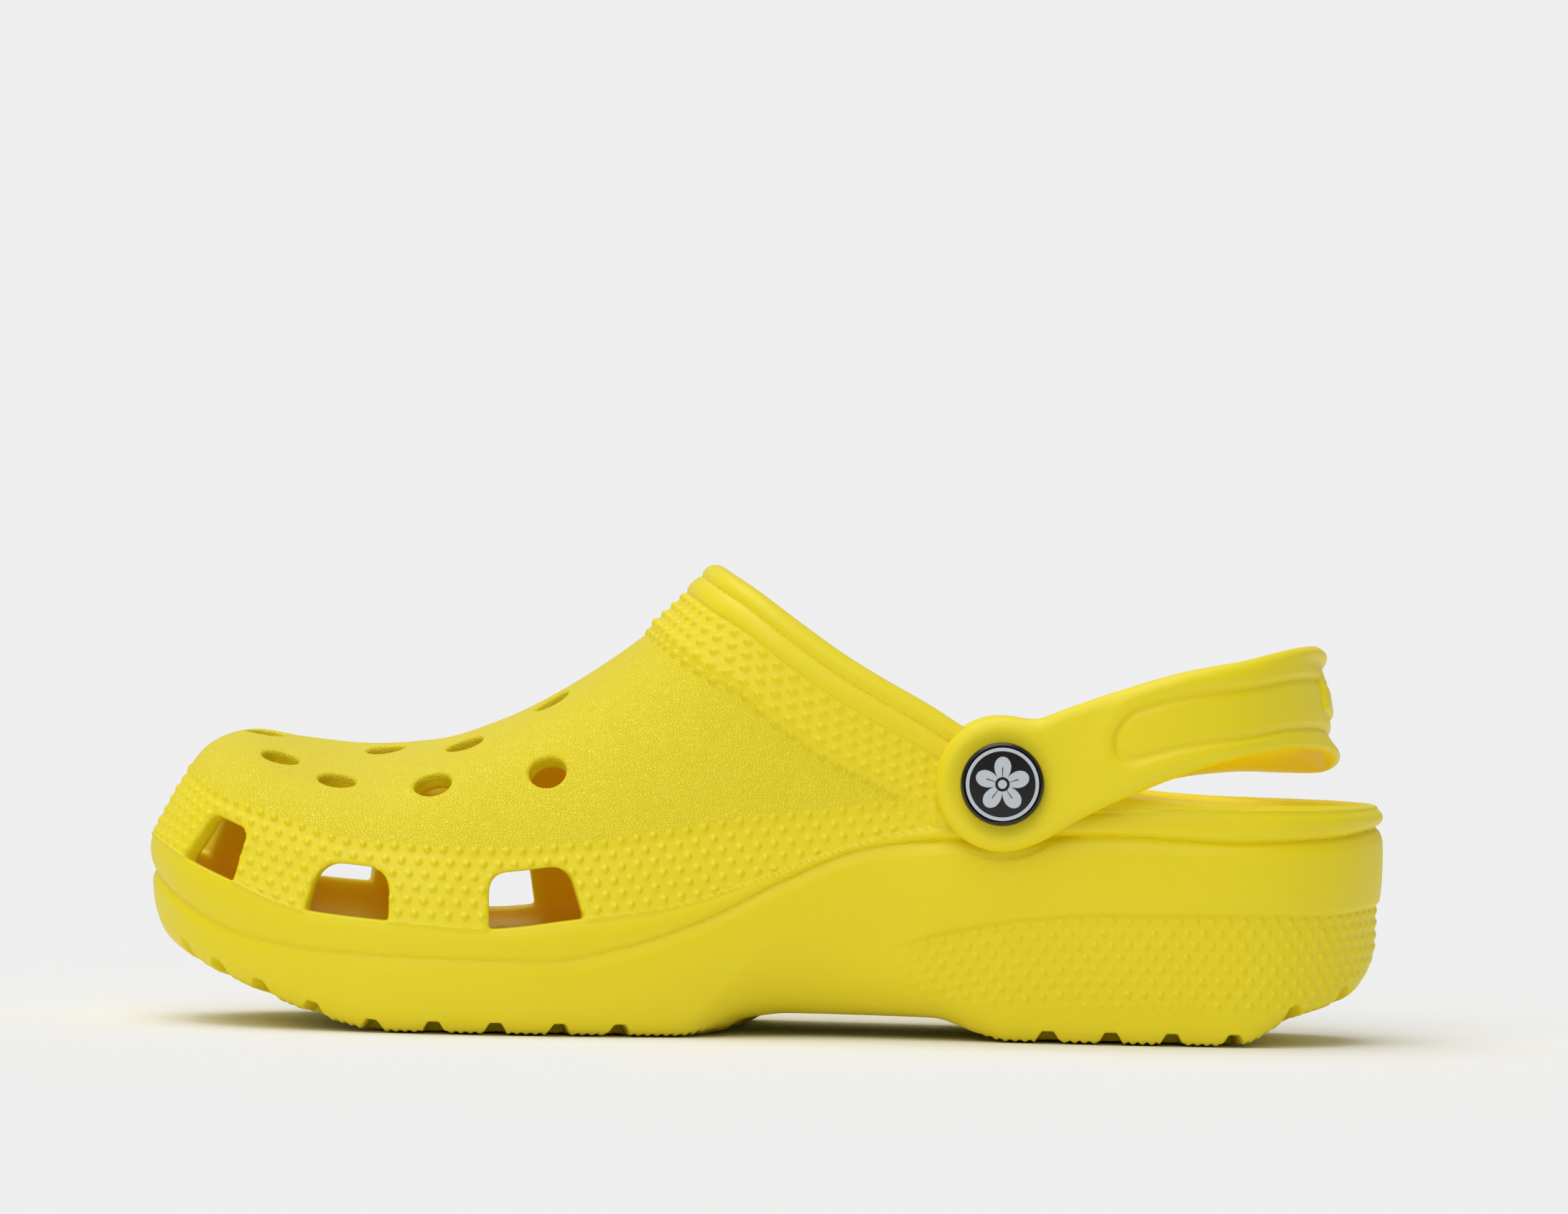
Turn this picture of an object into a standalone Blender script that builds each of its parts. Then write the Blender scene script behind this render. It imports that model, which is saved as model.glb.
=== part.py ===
"""A moulded foam garden clog for the right foot, with a swinging heel strap on two snap rivets.

Lengths in the tables and formulas are millimetres, and Blender gets metres. The toe points to -X, the
inner side of the foot to -Y and the sole stands on Z = 0. Each big soft form is a signed field, negative
inside, which is then read along rays to make the rings of a closed loft.
"""

import math

import bmesh
import bpy
import numpy as np
from mathutils import Matrix, Vector

MM = 0.001
COLLECTION = "garden_clog"
CUTTERS = "garden_clog_cutters"
GAP = 0.3

# The clog's outline seen from above at its widest level, from the toe tip round the inner side.
PLAN = [
    (-133, -8.5), (-130.4, -20.5), (-122, -32.5), (-106, -42.5), (-82, -49), (-56, -50.5), (-30, -47),
    (-4, -41), (24, -38), (56, -38), (88, -38.5), (108, -34.5), (122, -25), (130, -11.5),
    (132, 0.5), (129, 13.5), (119, 27.5), (100, 35.5), (72, 37.5), (40, 39.5), (8, 43.5), (-24, 48.5),
    (-52, 50.5), (-80, 47), (-104, 37), (-120, 24.5), (-129.5, 9.5),
]
# Side-view lines, each as (x, height).
TOP = [(-133, 54), (-127, 58.7), (-120, 61.6), (-112, 62.1), (-100, 60.7), (-86, 59.6), (-72, 60.8),
       (-58, 65.3), (-45, 72), (-26, 84.3), (-12, 99.5), (2, 114), (30, 132), (133, 135)]
CROWN = [(-133, 12), (-115, 13.6), (-105, 13.4), (-92.5, 13), (-72, 17.4), (-60, 26), (-30, 48), (-12, 65),
         (34, 110), (133, 110)]
PARTING = [(-133, 40.5), (-124.6, 35.7), (-115, 31.5), (-99.4, 25.8), (-82, 24), (-60, 22.6),
           (-40, 24.9), (-22.5, 27.3), (-5, 32.6), (12, 39.4), (29, 44.6), (67.5, 50.4), (133, 50.7)]
BOTTOM = [(-133, 26), (-128.6, 18.6), (-123.4, 14.8), (-118.7, 12.3), (-109.5, 8.4), (-98, 4),
          (-90, 1.6), (-82, 0), (-18, 0), (-8, 3.6), (3, 4.8), (36, 4.5), (46, 1.6), (52, 0), (101, 0),
          (113, 6), (122, 9), (126, 11), (130, 16), (133, 24)]
RIM = [(-40, 126), (-12, 102), (-3, 96), (6, 89.5), (16, 82.6), (25, 77.3), (34, 72.4), (45, 65.8),
       (60, 58.9), (75, 55), (88, 53.3), (101, 52.6), (133, 52.4)]
RIM_DROP = [(-40, 3), (40, 3), (80, 2), (105, 1.7), (133, 1.7)]  # how much lower the rim is on the outer side
RIM_INNER_Y, RIM_SPAN = -38.0, 76.0
FOOTBED = [(-133, 34), (-120, 27), (-104, 22.5), (-86, 20), (-60, 18.5), (-35, 20), (-10, 26), (20, 31),
           (50, 31.5), (80, 30), (110, 31), (133, 40)]
LEAN = [(-133, 0.4), (-110, 0.34), (-80, 0.3), (-30, 0.2), (0, 0.15), (40, 0.08), (133, 0.05)]

TOE_SPINE, HEEL_SPINE = -88.0, 92.0  # the spine's ends, where the rays start to fan out
# How far the sole's side draws in from its widest level down to its edge, and how round that edge is.
TUCK = [(-133, 2), (-105, 3.2), (90, 3.2), (115, 1.2), (133, 1)]
EDGE = [(-133, 4), (-105, 4.5), (-25, 4.5), (5, 8), (38, 8), (62, 4.5), (115, 3.5), (133, 3)]
SHOULDER, TOE_SHOULDER = 15.0, 9.5  # blend between the side walls and the vamp, and at the toe
OUTER_RISE = 3.6
TOE_CREST = 8.0  # how far the crest of the toe stands towards the outer side
ARCH_X, ARCH_HALF, ARCH_LIFT, ARCH_SKEW = 14.0, 33.0, 12.5, 20.0  # the scoop under the inner arch
CEILING = 112.0
WALL = 4.2
FLOOR_FILLET = 10.0
BODY_SPOKES, CAVITY_SPOKES = 64, 52
BODY_TILTS = (-79, -62, -51, -44, -39, -34, -29, -23, -14, -3, 9, 21, 33, 46, 60, 79)
CAVITY_TILTS = (-76, -50, -36, -26, -14, 0, 18, 36, 56, 78)

VENT_DEPTH = 26.0
# Each vent: x of its foot's middle, side, the foot's width, the top's width, height, corner radius.
VENTS = [(-120.4, -1, 14.5, 10.5, 12.2, 2.0), (-89.8, -1, 18.5, 15.8, 11.0, 5.0),
         (-48.5, -1, 20.8, 16.6, 12.1, 4.0), (-127.0, 1, 14.0, 10.5, 11.5, 2.0),
         (-94.6, 1, 18.0, 15.4, 11.5, 4.0), (-60.1, 1, 19.9, 15.8, 12.1, 4.0)]
HOLE_D = 8.0
HOLES = [(-47.5, -32.6), (-47, -7.8), (-50, 20.5), (-65.4, -14.5), (-66, 10.5), (-72, -30.6), (-72, 33.5),
         (-82.4, -2.6), (-86, 17), (-92.3, -24.2), (-100, 28), (-104.6, -15.0), (-108.5, 4.5)]

NOTCH_WIDE, NOTCH_DEEP, NOTCH_REACH = 3.2, 2.8, 13.0
FRONT_NOTCHES = (-109.4, -97.4, -84.3, -70.7, -57.0, -42.9, -29.8)
REAR_NOTCHES = (60.8, 74.3, 87.8, 101.7, 114.6)
OUTER_LAST_NOTCH = -18.3

PIVOT_X, PIVOT_Z = 50.0, 54.2
AXIS_TILT = math.radians(2.3)  # the strap's axis is this much higher towards the inner side
RING_R = 14.9
RING_THICK = 4.4
INNER_RING_Y, OUTER_RING_Y = -37.5, 38.0  # the strap's faces against the clog, at the pivots
SEAT_R = 15.9  # the flat seat that each ring turns on
POST_R, WALL_HOLE_R, RING_HOLE_R = 3.4, 3.8, 3.75
CAP_R, CAP_H = 9.0, 2.7
EMBLEM_R, EMBLEM_T, EMBLEM_SEAT = 7.9, 0.6, 0.8
SOCKET_R, SOCKET_H, SOCKET_CLEARANCE = 7.0, 2.4, 0.1
SOCKET_SEAT_R = 7.6

# The heel strap's middle line, from the inner ring round the heel to the outer one: x, y, z, half height.
# Like the rivets it is laid out with its axis level, and then leaned with it.
STRAP_PATH = [
    (50.0, -39.7, 54.2, 12.4), (62, -40.3, 57.0, 12.4), (74, -41.1, 62.4, 11.9), (88, -40.1, 67.6, 11.1),
    (101, -35, 71.1, 10.3), (111, -24, 73.4, 10.6), (116.8, -11, 73.6, 11.7), (118, 0, 71.6, 12.7),
    (116, 12, 69.8, 12.2), (110, 24, 68.6, 11.2), (100, 33.5, 67.8, 10.5), (87, 39.3, 66.2, 10.9),
    (74, 40.7, 62.2, 11.7), (62, 40.5, 57.4, 12.4), (50.0, 40.2, 54.2, 12.4),
]
STRAP_THICK = 4.4
STRAP_STEPS = 44

YELLOW = (0.86, 0.68, 0.045)
BLACK = (0.012, 0.012, 0.014)
PALE = (0.6, 0.64, 0.68)


def through(points):
    """A smooth line through (x, value) points that never overshoots them."""
    x, y = np.array(points, float).T
    step = np.diff(x)
    slope = np.diff(y) / step
    flat = slope[:-1] * slope[1:] <= 0
    mean = 2 * slope[:-1] * slope[1:] / np.where(flat, 1, slope[:-1] + slope[1:])
    lean = np.concatenate([slope[:1], np.where(flat, 0, mean), slope[-1:]])

    def line(at):
        at = np.clip(at, x[0], x[-1])
        i = np.clip(np.searchsorted(x, at) - 1, 0, len(step) - 1)
        t = (at - x[i]) / step[i]
        rise = step[i] * (lean[i] * t * (1 - t) ** 2 - lean[i + 1] * t * t * (1 - t))
        return y[i] + (y[i + 1] - y[i]) * t * t * (3 - 2 * t) + rise

    return line


def closed_curve(points, per_span):
    """Points on a closed Catmull-Rom curve."""
    p = np.array(points, float)
    before, after, second = np.roll(p, 1, 0), np.roll(p, -1, 0), np.roll(p, -2, 0)
    t = (np.arange(per_span) / per_span)[None, :, None]
    a, b, c, d = (q[:, None, :] for q in (before, p, after, second))
    curve = b + 0.5 * t * (c - a + t * (2 * a - 5 * b + 4 * c - d + t * (3 * (b - c) + d - a)))
    return curve.reshape(-1, p.shape[1])


def open_curve(points, count):
    """Evenly parted points on an open Catmull-Rom curve."""
    p = np.array(points, float)
    p = np.vstack([2 * p[0] - p[1], p, 2 * p[-1] - p[-2]])
    at = np.linspace(0, len(points) - 1, count)
    i = np.minimum(at.astype(int), len(points) - 2)
    t = (at - i)[:, None]
    a, b, c, d = p[i], p[i + 1], p[i + 2], p[i + 3]
    return b + 0.5 * t * (c - a + t * (2 * a - 5 * b + 4 * c - d + t * (3 * (b - c) + d - a)))


def larger(a, b, blend):
    """The larger of two fields, with the edge between them rounded over that distance."""
    near = np.maximum(blend - np.abs(a - b), 0) / blend
    return np.maximum(a, b) + near * near * blend / 4


top, crown, parting, bottom = through(TOP), through(CROWN), through(PARTING), through(BOTTOM)
rim, rim_drop, footbed, lean = through(RIM), through(RIM_DROP), through(FOOTBED), through(LEAN)
tuck, sole_edge = through(TUCK), through(EDGE)
outline = closed_curve(PLAN, 12)
pivot = Vector((PIVOT_X, 0, PIVOT_Z)) * MM
leaned = Matrix.Translation(pivot) @ Matrix.Rotation(-AXIS_TILT, 4, "X") @ Matrix.Translation(-pivot)


def inward(x, y):
    """How far each (x, y) is inside the outline; negative outside it."""
    start = outline
    run = np.roll(outline, -1, 0) - start
    px, py = x[:, None] - start[:, 0], y[:, None] - start[:, 1]
    t = np.clip((px * run[:, 0] + py * run[:, 1]) / (run**2).sum(1), 0, 1)
    off = np.hypot(px - t * run[:, 0], py - t * run[:, 1]).min(1)
    ahead = np.roll(start, -1, 0)
    crosses = (start[:, 1] > y[:, None]) != (ahead[:, 1] > y[:, None])
    cut = start[:, 0] + (y[:, None] - start[:, 1]) * run[:, 0] / np.where(run[:, 1] == 0, 1, run[:, 1])
    inside = (crosses & (x[:, None] < cut)).sum(1) % 2 == 1
    return np.where(inside, off, -off)


def middle(x):
    """The y of the clog's middle line, halfway between its two sides."""
    return 1.8 * np.cos(np.clip((x + 40) / 60, -math.pi / 2, math.pi / 2)) - 0.3


def ramp(value, low, high):
    """0 below low, 1 above high, smooth between."""
    t = np.clip((value - low) / (high - low), 0, 1)
    return t * t * (3 - 2 * t)


def vamp_height(x, y):
    """The upper's top surface, carried on over the mouth; flatter at the toe, with its crest moved over."""
    toe = ramp(-x, 62, 92)
    away = np.abs(y - middle(x) - TOE_CREST * toe) / 50
    return np.minimum(top(x) - crown(x) * away ** (2.4 - 0.85 * toe), CEILING)


def below_vamp(x, y, z):
    """Distance above the upper's top surface."""
    h = 0.5
    height = vamp_height(x, y)
    fore = (vamp_height(x + h, y) - height) / h
    side = (vamp_height(x, y + h) - height) / h
    return (z - height) / np.sqrt(1 + fore**2 + side**2)


def sole_height(x, y):
    """The sole's underside: arched in the middle, and scooped up towards the inner side there."""
    near_arch = np.clip(1 - np.abs(x - ARCH_X) / ARCH_HALF, 0, 1)
    bump = near_arch * near_arch * (3 - 2 * near_arch)
    front = np.clip(1 - np.abs(x + 8) / 30, 0, 1)
    to_inner = np.clip((-21.5 - y) / 17, 0, 1)
    return bottom(x - ARCH_SKEW * front * (y + 46.5) / 90) + ARCH_LIFT * bump * to_inner**2


def parting_height(x, y):
    """The height of the line between sole and upper, which is higher round the outer side of the toe."""
    return parting(x) + OUTER_RISE * ramp(y, -10, 30) * ramp(-x, 62, 84) * (1 - ramp(-x, 100, 126))


def shoulder(x):
    """How wide the rounding is between the side wall and the vamp."""
    return SHOULDER - (SHOULDER - TOE_SHOULDER) * ramp(-x, 65, 95)


def side_inset(x, y, z):
    """How far the side wall stands inside the outline at each height."""
    level = parting_height(x, y)
    share = np.clip((level - z) / (level - bottom(x)), 0, 1)
    return np.where(z > level, lean(x) * (z - level), tuck(x) * share**2)


def outer_field(x, y, z):
    wall = side_inset(x, y, z) - inward(x, y)
    shell = larger(wall, below_vamp(x, y, z), shoulder(x))
    return larger(shell, sole_height(x, y) - z, sole_edge(x))


def cavity_field(x, y, z):
    wall = side_inset(x, y, np.maximum(z, parting_height(x, y))) - inward(x, y) + WALL
    shell = larger(wall, below_vamp(x, y, z) + WALL, shoulder(x))
    return larger(shell, footbed(x) - z, FLOOR_FILLET)


def reach(field, start, way, longest=150.0):
    """How far along each ray the field turns positive."""
    low, high = np.zeros(len(start)), np.full(len(start), longest)
    for _ in range(26):
        half = (low + high) / 2
        inside = field(*(start + way * half[:, None]).T) < 0
        low, high = np.where(inside, half, low), np.where(inside, high, half)
    return low


def loft_of(name, field, spokes, tilts, centre_height):
    """A closed loft: rings of points where rays from the spine leave the field, capped across."""
    hub = outline[(np.arange(spokes) * len(outline) / spokes).astype(int)]
    spine_x = np.clip(hub[:, 0], TOE_SPINE, HEEL_SPINE)
    spine = np.stack([spine_x, middle(spine_x), centre_height(spine_x)], 1)
    out = np.stack([hub[:, 0] - spine[:, 0], hub[:, 1] - spine[:, 1]], 1)
    out /= np.linalg.norm(out, axis=1)[:, None]
    made = bmesh.new()
    loops = []
    for tilt in np.radians(tilts):
        way = np.stack([out[:, 0] * math.cos(tilt), out[:, 1] * math.cos(tilt),
                        np.full(spokes, math.sin(tilt))], 1)
        ring = spine + way * reach(field, spine, way)[:, None]
        loops.append([made.verts.new(p * MM) for p in ring])
    for low, high in zip(loops, loops[1:]):
        for i in range(spokes):
            j = (i + 1) % spokes
            made.faces.new((low[i], low[j], high[j], high[i]))
    for loop in (loops[0], loops[-1]):
        cap_across(made, loop)
    return finish_mesh(name, made)


def cap_across(made, loop):
    """Closes a ring with strips from one side to the other."""
    half = len(loop) // 2
    for i in range(half):
        a, b, c, d = i, i + 1, len(loop) - i - 1, (len(loop) - i) % len(loop)
        corners = dict.fromkeys((a, b, c, d))
        made.faces.new([loop[k] for k in corners])


def finish_mesh(name, made):
    bmesh.ops.recalc_face_normals(made, faces=made.faces)
    mesh = bpy.data.meshes.new(name)
    made.to_mesh(mesh)
    made.free()
    return bpy.data.objects.new(name, mesh)


def material(name, colour, roughness):
    made = bpy.data.materials.new(name)
    made.use_nodes = True
    shader = made.node_tree.nodes["Principled BSDF"]
    shader.inputs["Base Color"].default_value = (*colour, 1)
    shader.inputs["Roughness"].default_value = roughness
    made.diffuse_color = (*colour, 1)
    return made


def collection(name):
    made = bpy.data.collections.new(name)
    bpy.context.scene.collection.children.link(made)
    return made


def as_cutter(obj, cutters):
    cutters.objects.link(obj)
    obj.hide_render = True
    obj.display_type = "WIRE"
    return obj


def cut(target, cutter, way="DIFFERENCE"):
    step = target.modifiers.new(cutter.name, "BOOLEAN")
    step.operation = way
    step.object = cutter


def prism(made, outline_points, place, depth):
    """Adds a flat outline, pushed out along its own Z by depth, at the matrix place."""
    low = [made.verts.new(place @ Vector((x * MM, y * MM, 0))) for x, y in outline_points]
    high = [made.verts.new(place @ Vector((x * MM, y * MM, depth * MM))) for x, y in outline_points]
    made.faces.new(low[::-1])
    made.faces.new(high)
    for i in range(len(low)):
        j = (i + 1) % len(low)
        made.faces.new((low[i], low[j], high[j], high[i]))


def rim_height(x, y):
    """The height of the plane that the rim is cut along, at each x and y."""
    return float(rim(x) - rim_drop(x) * (y - RIM_INNER_Y) / RIM_SPAN)


def mouth_cutter():
    """Everything over the rim line, across the whole width."""
    made = bmesh.new()
    stations = np.linspace(-40, 140, 37)
    loops = []
    for y in (-80, 80):
        line = [(x, y, rim_height(x, y)) for x in stations] + [(140, y, 160), (-40, y, 160)]
        loops.append([made.verts.new(Vector(p) * MM) for p in line])
        made.faces.new(loops[-1])
    for i in range(len(loops[0])):
        j = (i + 1) % len(loops[0])
        made.faces.new((loops[0][i], loops[0][j], loops[1][j], loops[1][i]))
    return finish_mesh("mouth_cutter", made)


def side_frame(x, side):
    """The outline's point and outward direction at x on one side, as a matrix with X along it."""
    half = outline[outline[:, 1] * side > 0]
    half = half[np.argsort(half[:, 0])]
    at = np.array([x, np.interp(x, half[:, 0], half[:, 1])])
    i = int(np.abs(outline - at).sum(1).argmin())
    along = outline[(i + 3) % len(outline)] - outline[i - 3]
    along = Vector((*along, 0)).normalized()
    out = along.cross(Vector((0, 0, 1)))
    base = Vector((at[0] * MM, at[1] * MM, 0))
    turn = Matrix((along, Vector((0, 0, 1)), out)).transposed().to_4x4()
    return Matrix.Translation(base) @ turn, at


def vent_outline(foot, head, height, corner, tilt):
    """A trapezoid with round upper corners, its foot level and its middle line tilted."""
    right = [(foot / 2, 0)]
    for turn in np.radians((10, 35, 60, 85)):
        right.append((head / 2 - corner * (1 - math.cos(turn)), height - corner * (1 - math.sin(turn))))
    return [(x + tilt * y, y) for x, y in right + [(-x, y) for x, y in reversed(right)]]


def vent_cutter():
    made = bmesh.new()
    for x, side, foot, head, height, corner in VENTS:
        place, at = side_frame(x, side)
        lift = Matrix.Translation((0, 0, (float(parting_height(*at)) + 0.3) * MM))
        push = Matrix.Translation((0, 0, -VENT_DEPTH / 2 * MM))
        tilt = side * float(parting(x + 1) - parting(x - 1)) / 2
        prism(made, vent_outline(foot, head, height, corner, tilt), lift @ place @ push, VENT_DEPTH)
    return finish_mesh("vent_cutter", made)


def hole_cutter():
    """The round holes in the vamp, each square to the surface."""
    made = bmesh.new()
    for x, y in HOLES:
        point = np.array([x]), np.array([y])
        height = float(vamp_height(*point)[0])
        fore = float(vamp_height(point[0] + 1, point[1])[0]) - height
        side = float(vamp_height(point[0], point[1] + 1)[0]) - height
        normal = Vector((-fore, -side, 1)).normalized()
        turn = normal.to_track_quat("Z", "Y").to_matrix().to_4x4()
        place = Matrix.Translation(Vector((x, y, height)) * MM) @ turn
        bmesh.ops.create_cone(made, cap_ends=True, segments=18, radius1=HOLE_D / 2 * MM,
                              radius2=HOLE_D / 2 * MM, depth=24 * MM, matrix=place)
    return finish_mesh("hole_cutter", made)


def notch_cutter():
    """The gaps between the lugs round the edge of the tread."""
    made = bmesh.new()
    spots = [(x, side) for x in FRONT_NOTCHES + REAR_NOTCHES for side in (-1, 1)]
    for x, side in spots + [(OUTER_LAST_NOTCH, 1)]:
        place, at = side_frame(x, side)
        low = float(bottom(at[0]))
        size = Matrix.Diagonal((NOTCH_WIDE * MM, 2 * NOTCH_DEEP * MM, 2 * NOTCH_REACH * MM, 1))
        lift = Matrix.Translation((0, 0, low * MM))
        bmesh.ops.create_cube(made, size=1, matrix=lift @ place @ size)
    return finish_mesh("notch_cutter", made)


def axle_cutter(name, radius, near, far):
    """A cylinder on the strap's axis between two places along it."""
    made = bmesh.new()
    place = leaned @ Matrix.Translation(Vector((PIVOT_X, (near + far) / 2, PIVOT_Z)) * MM)
    bmesh.ops.create_cone(made, cap_ends=True, segments=32, radius1=radius * MM, radius2=radius * MM,
                          depth=abs(far - near) * MM, matrix=place @ Matrix.Rotation(math.pi / 2, 4, "X"))
    return finish_mesh(name, made)


def clog_body(parts, cutters, foam):
    body = loft_of("clog_body", outer_field, BODY_SPOKES, BODY_TILTS,
                   lambda x: np.maximum(parting(x) * 0.5 + 10, 26))
    parts.objects.link(body)
    body.data.materials.append(foam)
    cavity = loft_of("cavity_cutter", cavity_field, CAVITY_SPOKES, CAVITY_TILTS,
                     lambda x: footbed(x) + 16)
    tools = [cavity, mouth_cutter(), vent_cutter(), hole_cutter(), notch_cutter(),
             axle_cutter("rivet_hole_cutter", WALL_HOLE_R, INNER_RING_Y - 9, OUTER_RING_Y + 9),
             axle_cutter("inner_seat_cutter", SEAT_R, INNER_RING_Y + GAP, INNER_RING_Y - 20),
             axle_cutter("outer_seat_cutter", SEAT_R, OUTER_RING_Y - GAP, OUTER_RING_Y + 20),
             axle_cutter("socket_seat_cutter", SOCKET_SEAT_R, inside_wall(-1), inside_wall(1))]
    for tool in tools:
        cut(body, as_cutter(tool, cutters))
    return body


def strap_section(half_height, half_thick):
    """Half a strap section's corners, out of the middle: thick rounded edges round a thinner band."""
    edge = half_thick
    return [(0.0, 0.8 * half_thick), (half_height - 4.6, 0.8 * half_thick), (half_height - 3.2, edge * 1.1),
            (half_height - 1.2, edge * 1.1), (half_height, edge * 0.5)]


def strap_band(name):
    """The band of the strap as a loft along its path."""
    path = open_curve(STRAP_PATH, STRAP_STEPS)
    along = np.gradient(path[:, :2], axis=0)
    along /= np.linalg.norm(along, axis=1)[:, None]
    made = bmesh.new()
    loops = []
    for (x, y, z, half), (ax, ay) in zip(path, along):
        top_half = strap_section(half, STRAP_THICK / 2)
        right = top_half[:0:-1] + [top_half[0]] + [(-h, t) for h, t in top_half[1:]]
        corners = right + [(h, -t) for h, t in reversed(right)]
        ring = [Vector((x + ay * t, y - ax * t, z + h)) * MM for h, t in corners]
        loops.append([made.verts.new(leaned @ p) for p in ring])
    for low, high in zip(loops, loops[1:]):
        for i in range(len(low)):
            j = (i + 1) % len(low)
            made.faces.new((low[i], low[j], high[j], high[i]))
    made.faces.new(loops[0])
    made.faces.new(loops[-1])
    return finish_mesh(name, made)


def heel_strap(parts, cutters, foam):
    strap = strap_band("heel_strap")
    parts.objects.link(strap)
    strap.data.materials.append(foam)
    inner, outer = (INNER_RING_Y, INNER_RING_Y - RING_THICK), (OUTER_RING_Y, OUTER_RING_Y + RING_THICK)
    for name, (near, far) in (("inner_ring", inner), ("outer_ring", outer)):
        cut(strap, as_cutter(axle_cutter(name, RING_R, near, far), cutters), "UNION")
    trims = [axle_cutter("ring_hole_cutter", RING_HOLE_R, INNER_RING_Y - 9, OUTER_RING_Y + 9),
             axle_cutter("between_rings_cutter", RING_R + 6, INNER_RING_Y, OUTER_RING_Y)]
    for tool in trims:
        cut(strap, as_cutter(tool, cutters))
    set_pivot(strap)
    return strap


def set_pivot(obj):
    """Puts the object's origin on the strap's axis."""
    obj.data.transform(Matrix.Translation(-pivot))
    obj.location = pivot


def turned(name, profile, steps, y, side, parts, paint):
    """A profile of (radius, height) turned about the strap's axis, its height pointing outwards."""
    mesh = bpy.data.meshes.new(name)
    points = [(r * MM, 0, h * MM) for r, h in profile]
    mesh.from_pydata(points, [(i, i + 1) for i in range(len(points) - 1)], [])
    obj = bpy.data.objects.new(name, mesh)
    parts.objects.link(obj)
    mesh.materials.append(paint)
    spin = obj.modifiers.new("turn", "SCREW")
    spin.steps = steps
    spin.render_steps = steps
    spin.use_merge_vertices = True
    spin.merge_threshold = 1e-5
    obj.location = leaned @ (Vector((PIVOT_X, y, PIVOT_Z)) * MM)
    obj.rotation_euler = (-side * math.pi / 2 - AXIS_TILT, 0, 0)
    return obj


def rivet(prefix, side, ring_y, wall_inside, parts, black, pale):
    """One snap rivet: cap with its post, the printed disc in it, and the socket inside the clog."""
    outside = ring_y + side * (RING_THICK + GAP)
    reach_in = abs(outside - wall_inside) + SOCKET_H - 0.6
    cap = [(0, CAP_H - EMBLEM_SEAT), (EMBLEM_R + 0.25, CAP_H - EMBLEM_SEAT), (EMBLEM_R + 0.25, CAP_H - 0.2),
           (EMBLEM_R + 0.6, CAP_H), (CAP_R - 0.5, CAP_H - 0.9), (CAP_R, 0.9), (CAP_R - 0.4, 0),
           (POST_R, 0), (POST_R, 0.5 - reach_in), (POST_R - 0.5, -reach_in), (0, -reach_in)]
    turned(prefix + "_rivet_cap", cap, 40, outside, side, parts, black)
    disc = [(0, EMBLEM_T), (EMBLEM_R - 0.15, EMBLEM_T), (EMBLEM_R, EMBLEM_T - 0.15), (EMBLEM_R, 0), (0, 0)]
    seat = outside + side * (CAP_H - EMBLEM_SEAT + 0.1)
    turned(prefix + "_rivet_emblem", disc, 40, seat, side, parts, pale)
    bore = POST_R + SOCKET_CLEARANCE
    socket = [(bore, 0), (SOCKET_R - 1, 0), (SOCKET_R, -0.8), (SOCKET_R - 1, -SOCKET_H), (bore, -SOCKET_H),
              (bore, 0)]
    turned(prefix + "_rivet_socket", socket, 32, wall_inside - side * GAP, side, parts, black)


def clear_scene():
    for obj in list(bpy.data.objects):
        bpy.data.objects.remove(obj, do_unlink=True)


def inside_wall(side):
    """How far along the strap's axis the cavity's wall is."""
    start = np.array([[PIVOT_X, 0.0, PIVOT_Z]])
    way = np.array([[0.0, side * math.cos(AXIS_TILT), -side * math.sin(AXIS_TILT)]])
    return side * float(reach(cavity_field, start, way)[0])


def build():
    clear_scene()
    parts, cutters = collection(COLLECTION), collection(CUTTERS)
    foam = material("yellow_foam", YELLOW, 0.55)
    strap_foam = material("yellow_strap_foam", YELLOW, 0.5)
    black = material("black_plastic", BLACK, 0.15)
    pale = material("printed_disc", PALE, 0.35)
    clog_body(parts, cutters, foam)
    heel_strap(parts, cutters, strap_foam)
    rivet("medial", -1, INNER_RING_Y, inside_wall(-1), parts, black, pale)
    rivet("lateral", 1, OUTER_RING_Y, inside_wall(1), parts, black, pale)


build()
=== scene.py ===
"""The garden clog's looks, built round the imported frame.

Lengths in the tables and formulas are millimetres, and Blender gets metres. The clog and its strap are
signed fields, negative inside, meshed on a fine grid, so that every edge is rounded as a mould rounds it.
"""

import math

import bmesh
import bpy
import numpy as np
import openvdb
from mathutils import Matrix, Vector


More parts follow.
